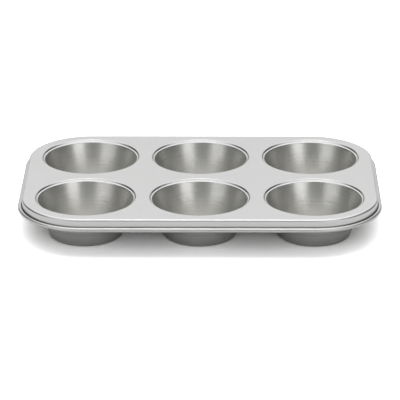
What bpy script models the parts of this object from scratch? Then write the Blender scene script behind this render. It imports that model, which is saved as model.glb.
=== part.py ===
"""Six-cup muffin pan: one deep-drawn steel sheet whose rim is rolled round a stiffening wire.

Metres, +Z up. The origin is on the ground under the middle of the pan, where the cups' floors stand,
+X runs along the long side and +Y to the back. All sizes of the sheet are those of its top face, the one
that the batter touches, and the sheet's thickness lies below that face. The skirt's outer face runs on
into the inside of the curl, so the wire lies against the same face of the sheet.
"""

import math

import bmesh
import bpy
from mathutils import Vector

# Sheet and wire
SHEET_THICKNESS = 0.0005
WIRE_RADIUS = 0.00075
WIRE_CLEARANCE_ON_SIDES = 0.0005
WIRE_CLEARANCE_IN_CORNERS = 0.0003
WIRE_END_GAP = 0.0006

# Cups, in a grid of columns along X and rows along Y
CUP_COLUMNS = 3
CUP_ROWS = 2
CUP_PITCH = 0.0840
CUP_HEIGHT = 0.0292
CUP_MOUTH_RADIUS = 0.0350
CUP_FLOOR_FLAT_RADIUS = 0.0246
CUP_FLOOR_BEND_RADIUS = 0.0025
CUP_LIP_RADIUS = 0.0010

# Recessed step round each mouth
STEP_DEPTH = 0.0014
STEP_LEDGE_WIDTH = 0.0009
STEP_SLOPE_WIDTH = 0.0007

# Deck, from the outermost steps to the skirt
DECK_END_MARGIN = 0.0094
DECK_SIDE_MARGIN = 0.0082

# Shoulder and skirt
SHOULDER_RADIUS = 0.0015
SKIRT_DROP = 0.0074
SKIRT_CORNER_RADIUS = 0.0465

# Rolled curl of the rim. It closes in behind the wire along the sides. In the corners the edge of the sheet
# has further to go than the skirt, so there the curl ends on top of the wire and leaves a slot.
CURL_START_ANGLE = math.radians(180)
CURL_END_ANGLE_ON_SIDES = math.radians(480)
CURL_END_ANGLE_IN_CORNERS = math.radians(455)

# Fineness of the round forms
CUP_STEPS = 36
LIP_STEPS = 3
FLOOR_BEND_STEPS = 3
SHOULDER_STEPS = 3
CURL_STEPS = 10
CORNER_STEPS = 10
WIRE_BEVEL_RESOLUTION = 2
SHARP_EDGE_ANGLE = math.radians(40)
MERGE_DISTANCE = 0.000001

# Worked out from the sizes above
STEP_INNER_RADIUS = CUP_MOUTH_RADIUS + CUP_LIP_RADIUS + STEP_LEDGE_WIDTH
STEP_OUTER_RADIUS = STEP_INNER_RADIUS + STEP_SLOPE_WIDTH
SKIRT_HALF_X = (CUP_COLUMNS - 1) / 2 * CUP_PITCH + STEP_OUTER_RADIUS + DECK_END_MARGIN
SKIRT_HALF_Y = (CUP_ROWS - 1) / 2 * CUP_PITCH + STEP_OUTER_RADIUS + DECK_SIDE_MARGIN
CURL_RADIUS_ON_SIDES = WIRE_RADIUS + WIRE_CLEARANCE_ON_SIDES
CURL_RADIUS_IN_CORNERS = WIRE_RADIUS + WIRE_CLEARANCE_IN_CORNERS
DECK_Z = CUP_HEIGHT
CURL_Z = DECK_Z - SKIRT_DROP


def clear_scene():
    """Start from an empty scene."""
    for old in list(bpy.data.objects):
        bpy.data.objects.remove(old, do_unlink=True)


def make_collection(name):
    """A collection linked to the scene."""
    collection = bpy.data.collections.new(name)
    bpy.context.scene.collection.children.link(collection)
    return collection


def metal(name, colour, roughness, metallic):
    """A Principled BSDF metal in one colour."""
    material = bpy.data.materials.new(name)
    material.use_nodes = True
    shader = material.node_tree.nodes["Principled BSDF"]
    shader.inputs["Base Color"].default_value = (*colour, 1.0)
    shader.inputs["Roughness"].default_value = roughness
    shader.inputs["Metallic"].default_value = metallic
    return material


def arc(centre_x, centre_z, radius, start, end, steps):
    """Points on an arc in a profile plane, both ends included. Angles are in radians from +X."""
    angles = [start + (end - start) * step / steps for step in range(steps + 1)]
    return [(centre_x + radius * math.cos(a), centre_z + radius * math.sin(a)) for a in angles]


def cup_wall_tilt(lip_x, lip_z, bend_x, bend_z):
    """Angle from upright of the straight wall that touches both the lip and the floor bend.

    The two arcs lie on opposite sides of the wall, so it is their crossed tangent.
    """
    across = lip_x - bend_x
    upward = lip_z - bend_z
    between = math.hypot(across, upward)
    crossing = math.asin((CUP_LIP_RADIUS + CUP_FLOOR_BEND_RADIUS) / between)
    return math.atan2(across, upward) - crossing


def cup_profile():
    """Half section of a cup, as (distance from the cup's axis, height), from the deck to the floor."""
    lip_x = CUP_MOUTH_RADIUS + CUP_LIP_RADIUS
    lip_z = DECK_Z - STEP_DEPTH - CUP_LIP_RADIUS
    bend_x = CUP_FLOOR_FLAT_RADIUS
    bend_z = SHEET_THICKNESS + CUP_FLOOR_BEND_RADIUS
    tilt = cup_wall_tilt(lip_x, lip_z, bend_x, bend_z)
    step = [(STEP_OUTER_RADIUS, DECK_Z), (STEP_INNER_RADIUS, DECK_Z - STEP_DEPTH)]
    lip = arc(lip_x, lip_z, CUP_LIP_RADIUS, math.radians(90), math.radians(180) - tilt, LIP_STEPS)
    bend = arc(bend_x, bend_z, CUP_FLOOR_BEND_RADIUS, -tilt, math.radians(-90), FLOOR_BEND_STEPS)
    return step + lip + bend


def outline_places():
    """Places round the skirt, anticlockwise from above: a rectangle with round corners.

    Each is (centre of its corner, direction out from that centre, how far the curl is open). The opening
    is 0 where a corner meets a side and 1 in the middle of the corner.
    """
    places = []
    for corner, (side_x, side_y) in enumerate([(1, 1), (-1, 1), (-1, -1), (1, -1)]):
        centre_x = side_x * (SKIRT_HALF_X - SKIRT_CORNER_RADIUS)
        centre_y = side_y * (SKIRT_HALF_Y - SKIRT_CORNER_RADIUS)
        for step in range(CORNER_STEPS + 1):
            share = step / CORNER_STEPS
            angle = math.radians(90) * (corner + share)
            direction = Vector((math.cos(angle), math.sin(angle), 0.0))
            opening = math.sin(math.radians(180) * share) ** 2
            places.append((Vector((centre_x, centre_y, 0.0)), direction, opening))
    return places


def between(on_sides, in_corners, opening):
    """A size of the curl at a place that is open by the given share."""
    return on_sides + (in_corners - on_sides) * opening


def curl_radius(opening):
    """Radius of the curl's inner face, which is also how far the wire's middle stands off the skirt."""
    return between(CURL_RADIUS_ON_SIDES, CURL_RADIUS_IN_CORNERS, opening)


def rim_section(opening):
    """Half section of the rim, as (distance out from the skirt, height): shoulder, skirt, then curl."""
    shoulder_z = DECK_Z - SHOULDER_RADIUS
    shoulder = arc(-SHOULDER_RADIUS, shoulder_z, SHOULDER_RADIUS, math.radians(90), 0.0, SHOULDER_STEPS)
    radius = curl_radius(opening)
    curl_end = between(CURL_END_ANGLE_ON_SIDES, CURL_END_ANGLE_IN_CORNERS, opening)
    curl = arc(radius, CURL_Z, radius, CURL_START_ANGLE, curl_end, CURL_STEPS)
    return shoulder + curl


def rim_rings():
    """The rings of points that the rim is skinned over, from the deck's edge to the curl's cut edge."""
    places = outline_places()
    sections = [rim_section(opening) for _, _, opening in places]
    rings = []
    for level in zip(*sections):
        ring = []
        for (centre, direction, _), (out, height) in zip(places, level):
            ring.append(centre + (SKIRT_CORNER_RADIUS + out) * direction + Vector((0.0, 0.0, height)))
        rings.append(ring)
    return rings


def add_ring(mesh, points):
    """A closed ring of vertices and edges. Returns both."""
    vertices = [mesh.verts.new(point) for point in points]
    edges = [mesh.edges.new((vertices[i - 1], vertices[i])) for i in range(len(vertices))]
    return vertices, edges


def skin_rings(mesh, inner, outer):
    """A band of faces between two rings that have the same number of vertices."""
    for i in range(len(inner)):
        mesh.faces.new((inner[i - 1], outer[i - 1], outer[i], inner[i]))


def add_cup(mesh, centre):
    """Turn the cup's profile about its axis, close its floor, and return the edges of its outermost ring."""
    profile = [mesh.verts.new(centre + Vector((out, 0.0, height))) for out, height in cup_profile()]
    spokes = [mesh.edges.new(pair) for pair in zip(profile, profile[1:])]
    before = set(mesh.verts)
    bmesh.ops.spin(
        mesh,
        geom=profile + spokes,
        cent=centre,
        axis=(0.0, 0.0, 1.0),
        angle=math.radians(360),
        steps=CUP_STEPS,
        use_merge=True,
    )
    cup = [vertex for vertex in mesh.verts if vertex not in before] + profile
    open_edges = {edge for vertex in cup for edge in vertex.link_edges if edge.is_boundary}
    floor_edges = [edge for edge in open_edges if edge.verts[0].co.z < DECK_Z / 2]
    bmesh.ops.holes_fill(mesh, edges=floor_edges, sides=CUP_STEPS)
    return [edge for edge in open_edges if edge.verts[0].co.z > DECK_Z / 2]


def make_pressing(collection, material):
    """The pressed sheet: cups turned, rim skinned, deck filled between them, then given its thickness."""
    mesh = bmesh.new()
    border = []
    for column in range(CUP_COLUMNS):
        for row in range(CUP_ROWS):
            x = (column - (CUP_COLUMNS - 1) / 2) * CUP_PITCH
            y = (row - (CUP_ROWS - 1) / 2) * CUP_PITCH
            border += add_cup(mesh, Vector((x, y, 0.0)))
    rings = [add_ring(mesh, points) for points in rim_rings()]
    for (inner, _), (outer, _) in zip(rings, rings[1:]):
        skin_rings(mesh, inner, outer)
    border += rings[0][1]
    deck = bmesh.ops.triangle_fill(mesh, edges=border, use_beauty=True, use_dissolve=False)
    bmesh.ops.remove_doubles(mesh, verts=mesh.verts, dist=MERGE_DISTANCE)
    bmesh.ops.recalc_face_normals(mesh, faces=mesh.faces)
    deck_face = next(item for item in deck["geom"] if isinstance(item, bmesh.types.BMFace))
    if deck_face.normal.z < 0.0:
        bmesh.ops.reverse_faces(mesh, faces=mesh.faces)

    data = bpy.data.meshes.new("pan_pressing")
    mesh.to_mesh(data)
    mesh.free()
    data.materials.append(material)
    data.shade_smooth()
    data.set_sharp_from_angle(angle=SHARP_EDGE_ANGLE)
    pressing = bpy.data.objects.new("pan_pressing", data)
    collection.objects.link(pressing)

    thickness = pressing.modifiers.new("Sheet thickness", "SOLIDIFY")
    thickness.thickness = SHEET_THICKNESS
    thickness.offset = -1.0
    thickness.use_even_offset = True
    return pressing


def wire_path():
    """The middle of the wire, from its first end at the back, round the pan and back to its last end."""
    ring = []
    for centre, direction, opening in outline_places():
        out = SKIRT_CORNER_RADIUS + curl_radius(opening)
        ring.append(centre + out * direction + Vector((0.0, 0.0, CURL_Z)))
    back_y = SKIRT_HALF_Y + CURL_RADIUS_ON_SIDES
    first_end = Vector((-WIRE_END_GAP / 2, back_y, CURL_Z))
    last_end = Vector((WIRE_END_GAP / 2, back_y, CURL_Z))
    back_left = CORNER_STEPS + 1
    return [first_end, *ring[back_left:], *ring[:back_left], last_end]


def make_wire(collection, material):
    """The stiffening wire: a round bar bent to lie in the curl, its ends meeting at the back."""
    curve = bpy.data.curves.new("rim_wire", "CURVE")
    curve.dimensions = "3D"
    curve.bevel_depth = WIRE_RADIUS
    curve.bevel_resolution = WIRE_BEVEL_RESOLUTION
    curve.use_fill_caps = True
    curve.materials.append(material)
    points = wire_path()
    spline = curve.splines.new("POLY")
    spline.points.add(len(points) - 1)
    for spline_point, point in zip(spline.points, points):
        spline_point.co = (*point, 1.0)
    wire = bpy.data.objects.new("rim_wire", curve)
    collection.objects.link(wire)
    return wire


def main():
    clear_scene()
    collection = make_collection("muffin_pan")
    coating = metal("silver_coating", (0.63, 0.63, 0.62), 0.34, 0.9)
    dark_steel = metal("wire_steel", (0.20, 0.20, 0.19), 0.42, 1.0)
    make_pressing(collection, coating)
    make_wire(collection, dark_steel)


main()
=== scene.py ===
# %% [markdown]
# # A muffin pan: one pressed sheet and one bent wire
#
# The real pan is a single sheet of coated steel, half a millimetre thick. A press draws six cups and a
# short skirt out of it, and a second tool rolls its edge round a stiffening wire. There is nothing else
# to it, so the whole look rests on two things: bends of the right radius, and a coating that catches the
# light as satin silver does. This lesson works the sheet out as arrays of points, and then finishes it.

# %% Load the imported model
import math

import bmesh
import bpy
import numpy as np
from mathutils import Matrix, Vector


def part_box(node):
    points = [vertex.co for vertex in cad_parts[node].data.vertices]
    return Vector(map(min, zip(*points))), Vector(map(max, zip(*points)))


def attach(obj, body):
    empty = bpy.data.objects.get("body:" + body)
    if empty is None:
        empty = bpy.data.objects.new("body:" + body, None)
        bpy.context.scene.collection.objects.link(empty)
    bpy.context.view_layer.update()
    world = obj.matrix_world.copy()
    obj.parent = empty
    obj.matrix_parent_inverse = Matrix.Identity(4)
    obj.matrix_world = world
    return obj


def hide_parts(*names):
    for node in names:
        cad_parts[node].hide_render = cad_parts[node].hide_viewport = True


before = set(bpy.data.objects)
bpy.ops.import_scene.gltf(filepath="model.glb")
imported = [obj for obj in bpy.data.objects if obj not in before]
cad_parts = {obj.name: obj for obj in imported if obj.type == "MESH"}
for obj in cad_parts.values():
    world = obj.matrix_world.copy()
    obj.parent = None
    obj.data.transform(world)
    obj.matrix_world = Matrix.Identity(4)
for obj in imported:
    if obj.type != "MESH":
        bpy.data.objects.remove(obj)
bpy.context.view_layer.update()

# %% [markdown]
# ## Sizes
#
# The frame says where the deck and the wire are, so those places are read from it. The bends of the sheet
# are listed, as a toolmaker would dimension them. They could be measured on the solid model too,
# but its arcs are coarse polygons, and a radius read from a polygon is always a little short.

# %% Sizes, in metres
pan_low, pan_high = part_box("pan_pressing")
wire_low, wire_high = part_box("rim_wire")

DECK_TOP = pan_high.z
WIRE_RADIUS = (wire_high.z - wire_low.z) / 2
CURL_HEIGHT = (wire_high.z + wire_low.z) / 2
WIRE_CLEARANCE_ON_SIDES = 0.0005
WIRE_CLEARANCE_IN_CORNERS = 0.0003
CURL_RADIUS_ON_SIDES = WIRE_RADIUS + WIRE_CLEARANCE_ON_SIDES
CURL_RADIUS_IN_CORNERS = WIRE_RADIUS + WIRE_CLEARANCE_IN_CORNERS
CURL_TURN_ON_SIDES = math.radians(300)
CURL_TURN_IN_CORNERS = math.radians(275)
SKIRT_HALF = np.array([wire_high.x, wire_high.y]) - WIRE_RADIUS - CURL_RADIUS_ON_SIDES

SHEET = 0.0005
COLUMNS = 3
ROWS = 2
PITCH = 0.0840
MOUTH_RADIUS = 0.0350
FLOOR_FLAT_RADIUS = 0.0246
FLOOR_BEND = 0.0025
LIP_BEND = 0.0007
LEDGE_WIDTH = 0.00062
LEDGE_SLOPE = 15.0
STEP_DEPTH = 0.0014
STEP_INNER_BEND = 0.0003
STEP_OUTER_BEND = 0.00065
STEP_SLOPE = 54.0
SHOULDER_BEND = 0.0015
SKIRT_CORNER = 0.0465
MARGIN = 0.0003
print("wire, mm:", round(2000 * WIRE_RADIUS, 2), "skirt, mm:", np.round(2000 * SKIRT_HALF, 1))

# %% [markdown]
# ## A pen that draws bent sheet
#
# Every part of the pressing has a section made of straight runs and round bends, and nothing else. A pen
# that knows only those two moves draws all of them. It could be a spline through measured points, but a
# spline swells where it turns from flat to round, and a polished bend shows such a swell at once. A short
# straight margin on each side of a bend keeps its smooth shading off the flats beside it.

# %% Draw a section with runs and bends


def run(length, steps=1):
    """A straight stretch of the section."""
    return ("run", length, steps)


def bend(radius, degrees, steps):
    """A round stretch: positive degrees turn the pen to its left."""
    return ("bend", radius, math.radians(degrees), steps)


def draw_section(start, moves):
    """Points along the moves, from start, with the pen heading along +X.

    A run of length L goes from p to p + L (cos h, sin h), where h is the heading. A bend of radius R turns
    about p + R (-sin h, cos h) to the pen's left, or about p - R (-sin h, cos h) to its right.
    """
    pen, heading = np.array(start, float), 0.0
    points = [pen[None, :]]
    for kind, size, *more in moves:
        part = np.arange(1, more[-1] + 1)[:, None] / more[-1]
        if kind == "run":
            step = pen + part * size * np.array([math.cos(heading), math.sin(heading)])
        else:
            turn, side = more[0], math.copysign(1.0, more[0])
            centre = pen + side * size * np.array([-math.sin(heading), math.cos(heading)])
            h = heading + part * turn
            step = centre - side * size * np.hstack([-np.sin(h), np.cos(h)])
            heading += turn
        points.append(step)
        pen = step[-1]
    return np.vstack(points)


quarter_bend = draw_section((0.0, 0.0), [bend(0.001, 90, 4)])
print("a quarter bend of 1 mm ends at, mm:", np.round(1000 * quarter_bend[-1], 3))

# %% [markdown]
# ## The section of a cup
#
# A cup is a flat floor, a bend, a straight wall that leans outwards, and a lip that rolls over to a
# narrow ledge. The ledge lies just under the deck, and one more small step climbs to it. The wall touches
# two round bends on opposite sides, so its lean isn't free: it is the crossed tangent of two circles.

# %% Work out the wall's lean and draw the cup
INNER_FLOOR_SHARE = 0.90

lip_centre = np.array([MOUTH_RADIUS + LIP_BEND, DECK_TOP - STEP_DEPTH - LIP_BEND])
floor_centre = np.array([FLOOR_FLAT_RADIUS, SHEET + FLOOR_BEND])
between = lip_centre - floor_centre
centre_distance = float(np.hypot(*between))
crossing = math.asin((LIP_BEND + FLOOR_BEND) / centre_distance)
wall_lean = math.degrees(math.atan2(between[0], between[1]) - crossing)
wall_length = centre_distance * math.cos(crossing)
ledge_rise = LEDGE_WIDTH * math.sin(math.radians(LEDGE_SLOPE))
inner_rise = STEP_INNER_BEND * (math.cos(math.radians(LEDGE_SLOPE)) - math.cos(math.radians(STEP_SLOPE)))
outer_rise = STEP_OUTER_BEND * (1 - math.cos(math.radians(STEP_SLOPE)))
lip_rise = LIP_BEND * (1 - math.cos(math.radians(LEDGE_SLOPE)))
step_rise = STEP_DEPTH + lip_rise - ledge_rise - inner_rise - outer_rise
cup_section = draw_section(
    (0.0, SHEET),
    [
        run(INNER_FLOOR_SHARE * FLOOR_FLAT_RADIUS, 5),
        run((1 - INNER_FLOOR_SHARE) * FLOOR_FLAT_RADIUS - MARGIN),
        run(MARGIN),
        bend(FLOOR_BEND, 90 - wall_lean, 7),
        run(MARGIN),
        run(wall_length - 2 * MARGIN, 4),
        run(MARGIN),
        bend(LIP_BEND, wall_lean - 90 + LEDGE_SLOPE, 7),
        run(LEDGE_WIDTH),
        bend(STEP_INNER_BEND, STEP_SLOPE - LEDGE_SLOPE, 3),
        run(step_rise / math.sin(math.radians(STEP_SLOPE))),
        bend(STEP_OUTER_BEND, -STEP_SLOPE, 5),
        run(MARGIN),
    ],
)
print("wall leans", round(wall_lean, 1), "degrees; step ends, mm:", np.round(1000 * cup_section[-1], 2))

# %% [markdown]
# ## The outline of the pan
#
# The deck, the skirt and the curl are all rectangles with round corners, one inside the other. A point on
# such an outline is its nearest point on the inner rectangle of corner centres, plus one radius outwards.
# Kept as that pair, the same point can be moved from one outline to the next without sliding along it.

# %% Points and outlines
HALVINGS = 50


def anchor_of(points, centres):
    """The nearest point of the rectangle of corner centres: each coordinate is clamped."""
    return np.clip(points, -centres, centres)


def outline_distance(points, half, radius):
    """How far points lie outside the outline: the distance to the anchor, less the corner radius."""
    return np.linalg.norm(points - anchor_of(points, half - radius), axis=-1) - radius


def reach(centre, directions, half, radius):
    """How far rays from centre run inside the outline: halving closes in on the place where they leave."""
    near, far = np.zeros(len(directions)), np.full(len(directions), 4 * half.max())
    for _ in range(HALVINGS):
        middle = (near + far) / 2
        outside = outline_distance(centre + middle[:, None] * directions, half, radius) > 0
        near, far = np.where(outside, near, middle), np.where(outside, middle, far)
    return near


half_skirt = reach(np.zeros(2), np.eye(2), SKIRT_HALF, SKIRT_CORNER)
print("from the middle to the skirt, mm:", np.round(1000 * half_skirt, 2))

# %% [markdown]
# ## One cell of deck for each cup
#
# A flat sheet with six holes has no simple grid. Cut along the lines midway between the cups, it becomes
# six cells with one hole each, and every cell is a grid of spokes from the hole to the cell's own border.
# Two neighbouring cells meet point for point, because each border is cut into the same angles seen from
# its cup.

# %% Build the six cup cells
SPOKES = 32
DECK_ROW_SHARES = np.array([0.08, 0.30, 0.65, 1.0])

deck_half = SKIRT_HALF - SHOULDER_BEND - MARGIN
deck_corner = SKIRT_CORNER - SHOULDER_BEND - MARGIN


def cell_angles(cup):
    """Spoke angles of one cell: from each corner of the cell to the next in equal steps.

    Towards a neighbouring cup a corner lies half a pitch away, and otherwise as far out as the deck reaches.
    """
    sides = np.array([(1, -1), (1, 1), (-1, 1), (-1, -1)], float)
    inner = np.full((4, 2), PITCH / 2)
    outer = deck_half - np.abs(cup)
    is_outer = np.abs(cup + sides * PITCH / 2) > np.array([COLUMNS, ROWS]) * PITCH / 2 - PITCH / 4
    corners = sides * np.where(is_outer, outer, inner)
    turns = np.unwrap(np.arctan2(corners[:, 1], corners[:, 0]))
    ends = np.append(turns[1:], turns[0] + 2 * np.pi)
    return np.concatenate([np.linspace(a, b, SPOKES, endpoint=False) for a, b in zip(turns, ends)])


def cell_border(cup, angles):
    """The cell's border: where a spoke first meets the outline or a line midway to the next cup."""
    directions = np.stack([np.cos(angles), np.sin(angles)], axis=-1)
    grid_half = np.array([COLUMNS - 1, ROWS - 1]) * PITCH / 2
    has_neighbour = (cup + np.sign(directions) * PITCH / 2) * np.sign(directions) < grid_half
    with np.errstate(divide="ignore"):
        to_line = np.where(has_neighbour, PITCH / 2 / np.abs(directions), np.inf).min(axis=1)
    length = np.minimum(reach(cup, directions, deck_half, deck_corner), to_line)
    return cup + length[:, None] * directions


def cup_cell(cup):
    """The cup turned about its axis, then the flat deck out to the cell's border, as one grid of points.

    Row i of the cup is (cx + r_i cos a, cy + r_i sin a, z_i). A deck row is a mix of the last cup row and
    the border: (1 - t) ring + t border.
    """
    angles = cell_angles(cup)
    border = cell_border(cup, angles)
    circle = np.stack([np.cos(angles), np.sin(angles)], axis=-1)
    rings = cup + cup_section[:, 0, None, None] * circle
    mix = DECK_ROW_SHARES[:, None, None]
    deck = (1 - mix) * rings[-1] + mix * border
    flat = np.concatenate([rings, deck])
    heights = np.concatenate([cup_section[:, 1], np.full(len(deck), DECK_TOP)])
    return np.dstack([flat, np.broadcast_to(heights[:, None], flat.shape[:2])]), border


columns = (np.arange(COLUMNS) - (COLUMNS - 1) / 2) * PITCH
rows = (np.arange(ROWS) - (ROWS - 1) / 2) * PITCH
cups = [np.array([x, y]) for x in columns for y in rows]
cells = [cup_cell(cup) for cup in cups]
print(len(cells), "cells of", cells[0][0].shape[:2], "points")

# %% [markdown]
# ## Shoulder, skirt and curl
#
# Outside the cells the sheet bends down over the shoulder, runs down the skirt, and rolls outwards round
# the wire. Shoulder and skirt are one more section drawn by the pen and carried along the outline. The
# curl isn't the same all the way round: in a corner the sheet's edge has further to go than the skirt, so
# there it draws tight under the wire and stays open above it, and a dark slot shows. That makes it a
# surface of two parameters, the turn of the roll and the place on the outline.

# %% Carry the rim's section round the pan
CURL_STEPS = 30
TOUCHING = 0.0000001
WELD_DISTANCE = 0.000001

border_points = np.concatenate([border for _, border in cells])
on_outline = np.abs(outline_distance(border_points, deck_half, deck_corner)) < TOUCHING
edge = border_points[on_outline]
edge = edge[np.argsort(np.arctan2(edge[:, 1], edge[:, 0]))]
gaps = np.linalg.norm(edge - np.roll(edge, 1, axis=0), axis=1)
edge = edge[gaps > WELD_DISTANCE]
edge_anchor = anchor_of(edge, deck_half - deck_corner)
edge_normal = (edge - edge_anchor) / deck_corner

skirt_section = draw_section(
    (-SHOULDER_BEND - MARGIN, DECK_TOP),
    [
        run(MARGIN),
        bend(SHOULDER_BEND, -90, 8),
        run(MARGIN),
        run(DECK_TOP - SHOULDER_BEND - CURL_HEIGHT - 2 * MARGIN, 2),
        run(MARGIN),
    ],
)


def curl_opening(normal):
    """How far the curl is open where the outline faces along normal: (2 nx ny) squared, 1 in mid-corner."""
    return (2 * normal[:, 0] * normal[:, 1]) ** 2


def between_side_and_corner(on_sides, in_corners, opening):
    """A size of the curl, mixed by how far it is open."""
    return on_sides + (in_corners - on_sides) * opening


def curl_rows(opening, steps):
    """Rows of the roll, as (out from the skirt, height): r (1 - cos a) and the wire's height - r sin a.

    The turn a grows from 0 to the full turn, and r and the full turn change with the opening.
    """
    radius = between_side_and_corner(CURL_RADIUS_ON_SIDES, CURL_RADIUS_IN_CORNERS, opening)
    full_turn = between_side_and_corner(CURL_TURN_ON_SIDES, CURL_TURN_IN_CORNERS, opening)
    turn = np.arange(1, steps + 1)[:, None] / steps * full_turn
    return radius * (1 - np.cos(turn)), CURL_HEIGHT - radius * np.sin(turn)


def carry(out, height):
    """Rows carried round the outline: each point is its anchor plus (corner radius + out) normal."""
    flat = edge_anchor + (SKIRT_CORNER + out)[..., None] * edge_normal
    return np.dstack([flat, height])


opening = curl_opening(edge_normal)
curl_out, curl_height = curl_rows(opening, CURL_STEPS)
skirt_out = np.repeat(skirt_section[:, :1], len(edge), axis=1)
skirt_height = np.repeat(skirt_section[:, 1:], len(edge), axis=1)
rim = carry(np.vstack([skirt_out, curl_out]), np.vstack([skirt_height, curl_height]))
print("rim grid", rim.shape[:2], "widest, mm", round(2000 * (rim[..., 0].max() + SHEET), 2))

# %% [markdown]
# ## From grids to one sheet
#
# The grids go into one mesh. Where they share points they are merged, so the surface has no seams, and
# each cup's floor closes at its middle point. Solidify then gives the sheet its thickness downwards,
# which keeps the drawn surface as the one that the batter touches.

# %% Make meshes from grids


def mesh_from_grids(name, grids):
    """One mesh from grids of points that close round their second axis.

    The face at row i and column j joins points (i, j), (i + 1, j), (i + 1, j + 1) and (i, j + 1). Points
    closer than the weld distance then become one.
    """
    points, quads, first = [], [], 0
    for grid in grids:
        n, m = grid.shape[:2]
        index = first + np.arange(n * m).reshape(n, m)
        after = np.roll(index, -1, axis=1)
        quads.append(np.stack([index[:-1], index[1:], after[1:], after[:-1]], axis=-1).reshape(-1, 4))
        points.append(grid.reshape(-1, 3))
        first += n * m
    points, quads = np.concatenate(points), np.concatenate(quads)
    mesh = bpy.data.meshes.new(name)
    mesh.vertices.add(len(points))
    mesh.vertices.foreach_set("co", points.astype(np.float32).ravel())
    mesh.loops.add(quads.size)
    mesh.loops.foreach_set("vertex_index", quads.astype(np.int32).ravel())
    mesh.polygons.add(len(quads))
    mesh.polygons.foreach_set("loop_start", np.arange(0, quads.size, 4, dtype=np.int32))
    mesh.polygons.foreach_set("loop_total", np.full(len(quads), 4, dtype=np.int32))
    mesh.update(calc_edges=True)
    welded = bmesh.new()
    welded.from_mesh(mesh)
    bmesh.ops.remove_doubles(welded, verts=welded.verts, dist=WELD_DISTANCE)
    bmesh.ops.dissolve_degenerate(welded, edges=welded.edges, dist=TOUCHING)
    welded.to_mesh(mesh)
    welded.free()
    mesh.shade_smooth()
    return mesh


def add_piece(name, mesh, node):
    """An object at the origin that stands for one CAD node and rides on the pan's body."""
    piece = bpy.data.objects.new(name, mesh)
    bpy.context.scene.collection.objects.link(piece)
    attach(piece, "root")
    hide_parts(node)
    return piece


sheet_mesh = mesh_from_grids("pressed_sheet", [cell for cell, _ in cells] + [rim])
sheet = add_piece("pressed_sheet", sheet_mesh, "pan_pressing")
thickness = sheet.modifiers.new("Sheet thickness", "SOLIDIFY")
thickness.thickness = SHEET
thickness.offset = -1.0
thickness.use_even_offset = True
print("sheet:", len(sheet_mesh.vertices), "points,", len(sheet_mesh.polygons), "faces on one side")

# %% [markdown]
# ## The wire in the rim
#
# The curl hides a bar of plain drawn steel, bent round the pan until its two ends meet in the middle of
# the back. A curve object with a bevel would do. The same outline arrays do it too, and they keep the
# wire in the middle of the curl all the way round. The path's point in the middle of the back is dropped.
# Three take its place at each end, for the middle of the end face, its rim, and the end of the chamfer.

# %% Bend the wire
WIRE_SIDES = 14
END_GAP = 0.0006
END_CHAMFER = 0.00015
BACKWARDS = [0.0, 1.0]

turn_from_back = (np.arctan2(edge[:, 1], edge[:, 0]) - np.pi / 2) % (2 * np.pi)
order = np.argsort(turn_from_back)
at_middle_of_back = (np.abs(edge[order, 0]) < WELD_DISTANCE) & (edge[order, 1] > 0)
order = order[~at_middle_of_back]
normal = edge_normal[order]
wire_out = between_side_and_corner(CURL_RADIUS_ON_SIDES, CURL_RADIUS_IN_CORNERS, opening[order])
path = edge_anchor[order] + (SKIRT_CORNER + wire_out)[:, None] * normal
end_at = np.array([END_GAP / 2, END_GAP / 2, END_GAP / 2 + END_CHAMFER])
end_y = np.full(3, path[0, 1])
first_end = np.stack([-end_at, end_y], axis=-1)
last_end = np.stack([end_at[::-1], end_y], axis=-1)
path = np.concatenate([first_end, path, last_end])
normal = np.concatenate([np.tile(BACKWARDS, (3, 1)), normal, np.tile(BACKWARDS, (3, 1))])
radii = np.full(len(path), WIRE_RADIUS)
radii[[0, -1]], radii[[1, -2]] = 0.0, WIRE_RADIUS - END_CHAMFER
around = np.linspace(0, 2 * np.pi, WIRE_SIDES, endpoint=False)
wire_flat = path[:, None] + (radii[:, None] * np.cos(around))[..., None] * normal[:, None]
wire_height = CURL_HEIGHT + radii[:, None] * np.sin(around)
wire_mesh = mesh_from_grids("stiffening_wire", [np.dstack([wire_flat, wire_height])])
wire = add_piece("stiffening_wire", wire_mesh, "rim_wire")
print("wire:", round(float(np.linalg.norm(np.diff(path, axis=0), axis=1).sum()), 3), "m long")

# %% [markdown]
# ## A helper for shader nodes
#
# Every finish here is a small graph of nodes. Written out one property at a time such a graph is hard to
# read, so one helper makes a node, sets it, and links or fills its inputs in a single call. The small
# functions after it are the sums and blends that the finishes are written in.

# %% Make nodes in one call


def add_node(tree, kind, inputs=None, **settings):
    """A shader node: settings are its properties, inputs maps a socket to a value or another output."""
    node = tree.nodes.new("ShaderNode" + kind)
    for name, value in settings.items():
        setattr(node, name, value)
    for socket, value in (inputs or {}).items():
        if isinstance(value, bpy.types.NodeSocket):
            tree.links.new(value, node.inputs[socket])
        else:
            node.inputs[socket].default_value = value
    return node


def math_node(tree, operation, *values):
    """The output of a Math node over values or other outputs."""
    return add_node(tree, "Math", dict(enumerate(values)), operation=operation).outputs[0]


def smooth_step(tree, value, low, high):
    """0 below low, 1 above high and a smooth curve between. Low may be the larger of the two."""
    inputs = {"Value": value, "From Min": low, "From Max": high}
    return add_node(tree, "MapRange", inputs, interpolation_type="SMOOTHSTEP").outputs["Result"]


def choose(tree, share, otherwise, chosen):
    """The value chosen where share is 1, otherwise where it is 0, and a straight blend between."""
    inputs = {"Value": share, "To Min": otherwise, "To Max": chosen}
    return add_node(tree, "MapRange", inputs, clamp=False).outputs["Result"]


def noise(tree, where, scale, detail=2.0):
    """Noise about 0, mostly from -1 to 1: the texture's 0.5 taken off, times 4."""
    texture = add_node(tree, "TexNoise", {"Vector": where, "Scale": scale, "Detail": detail}).outputs["Fac"]
    return math_node(tree, "MULTIPLY", math_node(tree, "SUBTRACT", texture, 0.5), 4.0)


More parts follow.
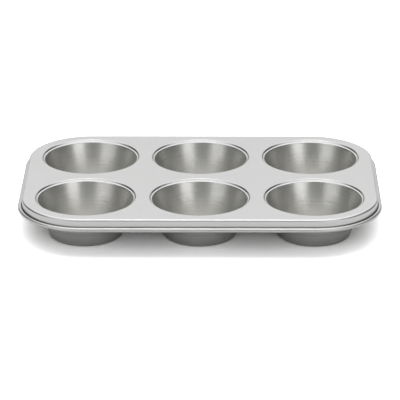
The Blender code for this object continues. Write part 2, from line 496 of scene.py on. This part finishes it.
def scaled(tree, vector, factor):
    """A vector or a colour times a factor that may vary over the surface."""
    return add_node(tree, "VectorMath", {0: vector, "Scale": factor}, operation="SCALE").outputs["Vector"]


def weighted_sum(tree, *terms):
    """The sum of weight times value over pairs (weight, value)."""
    total = 0.0
    for weight, value in terms:
        total = math_node(tree, "MULTIPLY_ADD", value, weight, total)
    return total


helpers = (add_node, math_node, smooth_step, choose, noise, scaled, weighted_sum)
print("node helpers:", ", ".join(helper.__name__ for helper in helpers))

# %% [markdown]
# ## Each cup's own coordinates
#
# A press leaves its marks round the axis of each cup, so the finish has to know where that axis is. Six
# materials would do, one for each cup. One material is enough when the place is wrapped to the pitch of
# the cups: every cup then sees itself at the middle. The angle itself would jump at the back of the cup,
# and a noise over its cosine and sine doesn't.

# %% Wrap the place to the nearest cup


def cup_coordinates(tree):
    """Direction from the cup's axis as (cos a, sin a, 0), the distance to that axis, and the height."""
    place = add_node(tree, "SeparateXYZ", {0: add_node(tree, "TexCoord").outputs["Object"]}).outputs
    x = math_node(tree, "WRAP", place["X"], PITCH / 2, -PITCH / 2)
    y = math_node(tree, "SUBTRACT", math_node(tree, "WRAP", place["Y"], PITCH, 0.0), PITCH / 2)
    flat = add_node(tree, "CombineXYZ", {"X": x, "Y": y}).outputs[0]
    direction = add_node(tree, "VectorMath", {0: flat}, operation="NORMALIZE").outputs["Vector"]
    distance = add_node(tree, "VectorMath", {0: flat}, operation="LENGTH").outputs["Value"]
    return direction, distance, place["Z"]


def polar_place(tree, direction, across, upward):
    """The point (across cos a, across sin a, upward): small across and large upward give level rings."""
    spread = scaled(tree, direction, across)
    lift = add_node(tree, "CombineXYZ", {"Z": upward}).outputs[0]
    return add_node(tree, "VectorMath", {0: spread, 1: lift}, operation="ADD").outputs["Vector"]


wrapped_columns = (columns + PITCH / 2) % PITCH - PITCH / 2
wrapped_rows = rows % PITCH - PITCH / 2
print("axes after wrapping, mm:", np.round(1000 * wrapped_columns, 3), np.round(1000 * wrapped_rows, 3))

# %% [markdown]
# ## The silver coating
#
# The coating is a thin enamel full of aluminium flakes. It mirrors like a metal, but softly: highlights
# are broad, and up close there is a fine grain. The cups were drawn through a die, which leaves level
# rings on their walls and faint drag marks along them, and the colour there is a shade warmer. The
# underside lay on the die and is rougher, and its colour is darker as painted shade under the pan. The
# rolled rim was rubbed by the rollers. It is one recipe with three sets of numbers, so that all faces belong
# together. Colour, roughness and relief all come from the same few noises, because on the real sheet one
# mark shows in all three.

# %% Mix the coating
GRAIN_SIZE = 0.0004
MOTTLE_SIZE = 0.014
WAVE_SIZE = 0.045
RING_SIZE = 0.0013
RING_UNEVENNESS = 0.8
DRAG_MARKS = 26.0
DRAG_SIZE = 1 / 60
WAVE_HEIGHT = 0.000012
GRAIN_HEIGHT = 0.0000006
INSIDE_LIP = MOUTH_RADIUS + 0.0002
OUTSIDE_LIP = MOUTH_RADIUS + 0.0012
MARKS_IN_COLOUR = {"grain": 0.012, "mottle": 0.016, "rings": 0.060, "drags": 0.010}
MARKS_IN_ROUGHNESS = {"grain": 0.020, "mottle": 0.020, "rings": 0.020, "drags": 0.015}


def new_material(name):
    """A material with nodes, its node tree and its Principled shader."""
    material = bpy.data.materials.new(name)
    material.use_nodes = True
    return material, material.node_tree, material.node_tree.nodes["Principled BSDF"]


def silver_coating(name, colour, lost_in_cups, roughness, ring_height, mark):
    """Metallic enamel: colour times (1 + marks), roughness plus marks, and relief in metres as bump.

    Marks = mark times the sum of weight times noise. Relief = wave + grain + ring height times rings. A
    mask on distance and height keeps rings and drags to the cups and the wave out of them, and takes
    lost_in_cups off the colour there.
    """
    material, tree, shader = new_material(name)
    place = add_node(tree, "TexCoord").outputs["Object"]
    direction, distance, height = cup_coordinates(tree)
    grain = noise(tree, place, 1 / GRAIN_SIZE, detail=1.0)
    mottle = noise(tree, place, 1 / MOTTLE_SIZE, detail=4.0)
    in_cup = math_node(
        tree,
        "MULTIPLY",
        smooth_step(tree, distance, OUTSIDE_LIP, INSIDE_LIP),
        smooth_step(tree, height, DECK_TOP - STEP_DEPTH, DECK_TOP - 2 * STEP_DEPTH),
    )
    on_flat = math_node(tree, "SUBTRACT", 1.0, in_cup)
    wave = math_node(tree, "MULTIPLY", noise(tree, place, 1 / WAVE_SIZE, detail=0.0), on_flat)
    level = math_node(tree, "MULTIPLY", height, 1 / RING_SIZE)
    ring_noise = noise(tree, polar_place(tree, direction, RING_UNEVENNESS, level), scale=1.0)
    rings = math_node(tree, "MULTIPLY", ring_noise, in_cup)
    along = math_node(tree, "MULTIPLY", height, 1 / DRAG_SIZE)
    drag_noise = noise(tree, polar_place(tree, direction, DRAG_MARKS, along), scale=1.0)
    drags = math_node(tree, "MULTIPLY", drag_noise, in_cup)
    noises = {"grain": grain, "mottle": mottle, "rings": rings, "drags": drags}
    brightness = weighted_sum(tree, *[(mark * MARKS_IN_COLOUR[kind], noises[kind]) for kind in noises])
    lost = scaled(tree, lost_in_cups, in_cup)
    own = add_node(tree, "VectorMath", {0: colour, 1: lost}, operation="SUBTRACT").outputs["Vector"]
    tree.links.new(scaled(tree, own, math_node(tree, "ADD", brightness, 1.0)), shader.inputs["Base Color"])
    rough = weighted_sum(tree, *[(mark * MARKS_IN_ROUGHNESS[kind], noises[kind]) for kind in noises])
    tree.links.new(math_node(tree, "ADD", rough, roughness), shader.inputs["Roughness"])
    relief = weighted_sum(tree, (WAVE_HEIGHT, wave), (GRAIN_HEIGHT, grain), (ring_height, rings))
    bump = add_node(tree, "Bump", {"Height": relief, "Strength": 1.0, "Distance": 1.0})
    tree.links.new(bump.outputs["Normal"], shader.inputs["Normal"])
    shader.inputs["Metallic"].default_value = 1.0
    print(name, "has", len(tree.nodes), "nodes")
    return material


SATIN_SILVER = (0.63, 0.63, 0.627)
# The underside's colour is darker than the top's: painted shade for the shadow under the pan.
SILVER_WITH_PAINTED_SHADE_BELOW = (0.55, 0.55, 0.54)
RUBBED_SILVER = (0.60, 0.60, 0.59)
WARMER = (0.0, 0.003, 0.024)
SAME = (0.0, 0.0, 0.0)
coating_above = silver_coating(
    "silver_coating", SATIN_SILVER, WARMER, roughness=0.30, ring_height=0.000024, mark=0.8
)
coating_below = silver_coating(
    "silver_coating_below", SILVER_WITH_PAINTED_SHADE_BELOW, SAME, roughness=0.38, ring_height=0.000006, mark=2.0
)
coating_rolled = silver_coating(
    "silver_coating_rolled", RUBBED_SILVER, SAME, roughness=0.36, ring_height=0.0, mark=1.6
)

# %% [markdown]
# ## Which face gets which coating
#
# The thickness modifier can shift the material of the faces that it makes, and the shift is the same for
# every face. So the list of materials has the upper side first and, two places on, the side that lies
# under it. The roll of the rim has its own entry in both halves: there, what was the sheet's underside
# has turned outwards.

# %% Give the sheet its coatings
START_OF_ROLL = 0.00001

for coating in (coating_above, coating_rolled, coating_below, coating_rolled):
    sheet_mesh.materials.append(coating)
thickness.material_offset = 2

face_centres = np.empty(3 * len(sheet_mesh.polygons), np.float32)
sheet_mesh.polygons.foreach_get("center", face_centres)
out_of_skirt = outline_distance(face_centres.reshape(-1, 3)[:, :2], SKIRT_HALF, SKIRT_CORNER)
on_roll = out_of_skirt > START_OF_ROLL
sheet_mesh.polygons.foreach_set("material_index", on_roll.astype(np.int32))
print("faces of the rolled rim:", int(on_roll.sum()))

# %% [markdown]
# ## Drawn steel wire
#
# The wire was pulled through a die, so its marks run along it. Its colour is dark, partly from the dull
# oxide of the mill still on it and partly as painted shade, so that the open corners, where only slivers of
# it show, read as deep slots. Lines along a bent wire could come from a UV map. Here each point carries how
# far it lies out from the skirt and up from the middle of the wire. A noise that is fine over those two and
# coarse along the pan gives lines that follow the bend.

# %% Draw the wire's finish
WIRE_LINE_SIZE = 0.00012
SLOW_ALONG_WIRE = 0.02
MILL_SCALE_SIZE = 0.0025
DRAWN_LINE_HEIGHT = 0.0000008
# Dark steel: partly mill oxide, partly painted shade for the slots in the corners.
DARK_STEEL_WITH_SLOT_SHADE = (0.20, 0.20, 0.19)
WIRE_ROUGHNESS = 0.42

wire_points = np.empty(3 * len(wire_mesh.vertices), np.float32)
wire_mesh.vertices.foreach_get("co", wire_points)
wire_points = wire_points.reshape(-1, 3)
across_wire = np.zeros((len(wire_points), 3), np.float32)
across_wire[:, 0] = outline_distance(wire_points[:, :2], SKIRT_HALF, SKIRT_CORNER)
across_wire[:, 1] = wire_points[:, 2] - CURL_HEIGHT
across_wire[:, 2] = wire_points[:, :2].sum(axis=1) * SLOW_ALONG_WIRE
wire_place = wire_mesh.attributes.new("across_wire", "FLOAT_VECTOR", "POINT")
wire_place.data.foreach_set("vector", across_wire.ravel())

steel, steel_tree, steel_shader = new_material("wire_steel")
lengthwise = add_node(steel_tree, "Attribute", attribute_name="across_wire").outputs["Vector"]
lines = noise(steel_tree, lengthwise, 1 / WIRE_LINE_SIZE)
in_place = add_node(steel_tree, "TexCoord").outputs["Object"]
scale_marks = noise(steel_tree, in_place, 1 / MILL_SCALE_SIZE, detail=4.0)
steel_brightness = weighted_sum(steel_tree, (0.05, lines), (0.10, scale_marks))
steel_colour = scaled(steel_tree, DARK_STEEL_WITH_SLOT_SHADE, math_node(steel_tree, "ADD", steel_brightness, 1.0))
steel_rough = weighted_sum(steel_tree, (0.03, lines), (0.06, scale_marks))
steel_relief = math_node(steel_tree, "MULTIPLY", lines, DRAWN_LINE_HEIGHT)
steel_bump = add_node(steel_tree, "Bump", {"Height": steel_relief, "Strength": 1.0, "Distance": 1.0})
steel_tree.links.new(steel_colour, steel_shader.inputs["Base Color"])
wire_rough = math_node(steel_tree, "ADD", steel_rough, WIRE_ROUGHNESS)
steel_tree.links.new(wire_rough, steel_shader.inputs["Roughness"])
steel_tree.links.new(steel_bump.outputs["Normal"], steel_shader.inputs["Normal"])
steel_shader.inputs["Metallic"].default_value = 1.0
wire_mesh.materials.append(steel)
print("wire finish on", len(wire_mesh.vertices), "points")

# %% [markdown]
# ## The camera
#
# The pan is seen from almost two metres away through a long lens, a little above the table. The lens is
# aimed at the middle of the deck, and a small shift puts that point where it lies in the picture, which
# keeps the perspective as it is. Turning the camera would move the point as well, but it would tilt the
# picture's plane.

# %% Set up the camera
CAMERA_DISTANCE = 1.9336
CAMERA_ELEVATION = math.radians(21.086)
CAMERA_AZIMUTH = math.radians(-0.451)
CAMERA_ROLL = math.radians(-0.092)
FOCAL_LENGTH = 231.86
SENSOR = 36.0
PICTURE = 400
AIM_PIXEL = (200.18, 176.05)

aim = Vector((0.0, 0.0, DECK_TOP))
level_reach = math.cos(CAMERA_ELEVATION)
forward = Vector(
    (
        math.sin(CAMERA_AZIMUTH) * level_reach,
        math.cos(CAMERA_AZIMUTH) * level_reach,
        -math.sin(CAMERA_ELEVATION),
    )
)
lens = bpy.data.cameras.new("camera")
lens.lens, lens.sensor_width = FOCAL_LENGTH, SENSOR
lens.shift_x = (PICTURE / 2 - AIM_PIXEL[0]) / PICTURE
lens.shift_y = (AIM_PIXEL[1] - PICTURE / 2) / PICTURE
camera = bpy.data.objects.new("camera", lens)
bpy.context.scene.collection.objects.link(camera)
camera.matrix_world = (
    Matrix.Translation(aim - CAMERA_DISTANCE * forward)
    @ forward.to_track_quat("-Z", "Y").to_matrix().to_4x4()
    @ Matrix.Rotation(CAMERA_ROLL, 4, "Z")
)
bpy.context.scene.camera = camera
bpy.context.scene.view_settings.view_transform = "Standard"
print("camera at", [round(c, 3) for c in camera.matrix_world.translation], "m")

# %% [markdown]
# ## The floor
#
# The table is white paper. In the picture it is brighter than anything on the pan, and only the pan's
# shadow shows on it. A real photographer would light the paper by itself. Here the paper answers a camera
# ray with a lighter colour than the one it gives to the metal, so the background is white, the shadow
# stays, and the pan gets no more light than before.

# %% Lay the floor
FLOOR_HALF = 12.0
FLOOR_GREY = 0.85
FLOOR_TO_CAMERA = 1.35
FLOOR_IN_METAL = 0.62


def mirrored(tree):
    """1 for rays that show a surface in metal or through glass."""
    rays = add_node(tree, "LightPath").outputs
    return math_node(tree, "MAXIMUM", rays["Is Glossy Ray"], rays["Is Transmission Ray"])


def to_camera(tree):
    """1 for rays that come straight from the camera."""
    return add_node(tree, "LightPath").outputs["Is Camera Ray"]


floor_mesh = bpy.data.meshes.new("floor")
sides_of_floor = [(-1, -1), (1, -1), (1, 1), (-1, 1)]
floor_corners = [(x * FLOOR_HALF, y * FLOOR_HALF, 0.0) for x, y in sides_of_floor]
floor_mesh.from_pydata(floor_corners, [], [(0, 1, 2, 3)])
floor = bpy.data.objects.new("floor", floor_mesh)
bpy.context.scene.collection.objects.link(floor)
paper = bpy.data.materials.new("paper")
paper.use_nodes = True
paper_tree = paper.node_tree
paper_tree.nodes.clear()
paper_value = choose(paper_tree, mirrored(paper_tree), FLOOR_GREY, FLOOR_IN_METAL)
paper_value = choose(paper_tree, to_camera(paper_tree), paper_value, FLOOR_TO_CAMERA)
paper_shader = add_node(paper_tree, "BsdfDiffuse", {"Color": paper_value})
add_node(paper_tree, "OutputMaterial", {"Surface": paper_shader.outputs[0]})
floor_mesh.materials.append(paper)
print("floor:", 2 * FLOOR_HALF, "m square")

# %% [markdown]
# ## The room that the metal mirrors
#
# Metal shows the room, so the room decides how the pan looks. Behind the pan hangs a pale backdrop, and
# the flat deck mirrors that. The side walls are almost black and the camera's side is dim, and they make
# the cups' walls grey. The ceiling is bright, and draws the light lines on every bend. Right overhead it
# is calmer, so that the deck doesn't burn out when it is seen from there. A picture of a studio could be
# wrapped round the scene. A few blends of plain greys say the same in numbers that can be tuned one by
# one. Each blend has two limits. Between walls, ceiling and the point overhead they are the upward part of
# a direction, and between front, sides and backdrop they are how far it points to the back.

# %% Paint the room
WALLS = 0.07
FRONT = 0.28
CEILING = 1.53
CEILING_IN_FRONT = 1.02
ZENITH = 0.95
BACKDROP_LOW = 0.66
BACKDROP_HIGH = 1.33
WHITE = 1.0
SIDE_TO_FRONT = (0.30, -0.81)
WALL_TO_CEILING = (0.59, 0.72)
CEILING_TO_ZENITH = (0.86, 0.96)
LOW_TO_HIGH = (0.15, 0.62)
SIDE_TO_BACKDROP = (0.75, 0.85)

world = bpy.data.worlds.new("studio")
bpy.context.scene.world = world
world.use_nodes = True
sky = world.node_tree
sky.nodes.clear()
ray = add_node(sky, "SeparateXYZ", {0: add_node(sky, "TexCoord").outputs["Generated"]}).outputs
level_ray = add_node(sky, "CombineXYZ", {"X": ray["X"], "Y": ray["Y"]}).outputs[0]
level_ray = add_node(sky, "VectorMath", {0: level_ray}, operation="NORMALIZE").outputs["Vector"]
to_back = add_node(sky, "SeparateXYZ", {0: level_ray}).outputs["Y"]
in_front = smooth_step(sky, to_back, *SIDE_TO_FRONT)
walls = choose(sky, in_front, WALLS, FRONT)
ceiling = choose(sky, in_front, CEILING, CEILING_IN_FRONT)
room = choose(sky, smooth_step(sky, ray["Z"], *WALL_TO_CEILING), walls, ceiling)
room = choose(sky, smooth_step(sky, ray["Z"], *CEILING_TO_ZENITH), room, ZENITH)
backdrop = choose(sky, smooth_step(sky, ray["Z"], *LOW_TO_HIGH), BACKDROP_LOW, BACKDROP_HIGH)
room = choose(sky, smooth_step(sky, to_back, *SIDE_TO_BACKDROP), room, backdrop)
room_value = choose(sky, to_camera(sky), room, WHITE)
background = add_node(sky, "Background", {"Color": room_value})
add_node(sky, "OutputWorld", {"Surface": background.outputs[0]})
print("room has", len(sky.nodes), "nodes")

# %% [markdown]
# ## Softboxes
#
# Two softboxes stand low to the left and right of the camera, and each one draws a light streak down the
# far wall of every cup. A long narrow one hangs overhead and gives the bends their bright edge. The last
# two only light the paper from the front and from behind, as white cards would, and are kept out of the
# metal.

# %% Hang the softboxes


def softbox(name, azimuth, elevation, distance, size, radiance, in_metal=True):
    """A rectangular lamp that faces the pan. Azimuth 0 is the camera's side, and angles are in degrees.

    Its power is radiance times pi times its area.
    """
    a, e = math.radians(azimuth), math.radians(elevation)
    place = distance * Vector((math.sin(a) * math.cos(e), -math.cos(a) * math.cos(e), math.sin(e)))
    data = bpy.data.lights.new(name, "AREA")
    data.shape, data.size, data.size_y = "RECTANGLE", size[0], size[1]
    data.energy = radiance * math.pi * size[0] * size[1]
    lamp = bpy.data.objects.new(name, data)
    bpy.context.scene.collection.objects.link(lamp)
    lamp.location = place
    lamp.rotation_euler = (-place).to_track_quat("-Z", "Y").to_euler()
    lamp.visible_glossy = in_metal
    print(name, "gives", round(data.energy, 1), "W")


softbox("overhead_strip", azimuth=0, elevation=80, distance=1.6, size=(1.3, 0.22), radiance=5.6)
softbox("left_strip", azimuth=-46.5, elevation=20, distance=2.2, size=(1.50, 0.85), radiance=0.89)
softbox("right_strip", azimuth=32.5, elevation=13, distance=2.2, size=(1.16, 0.85), radiance=1.29)
softbox("front_fill", 0, 33, distance=2.2, size=(2.0, 1.2), radiance=2.4, in_metal=False)
softbox("back_fill", 180, 40, distance=2.2, size=(2.0, 1.0), radiance=2.6, in_metal=False)
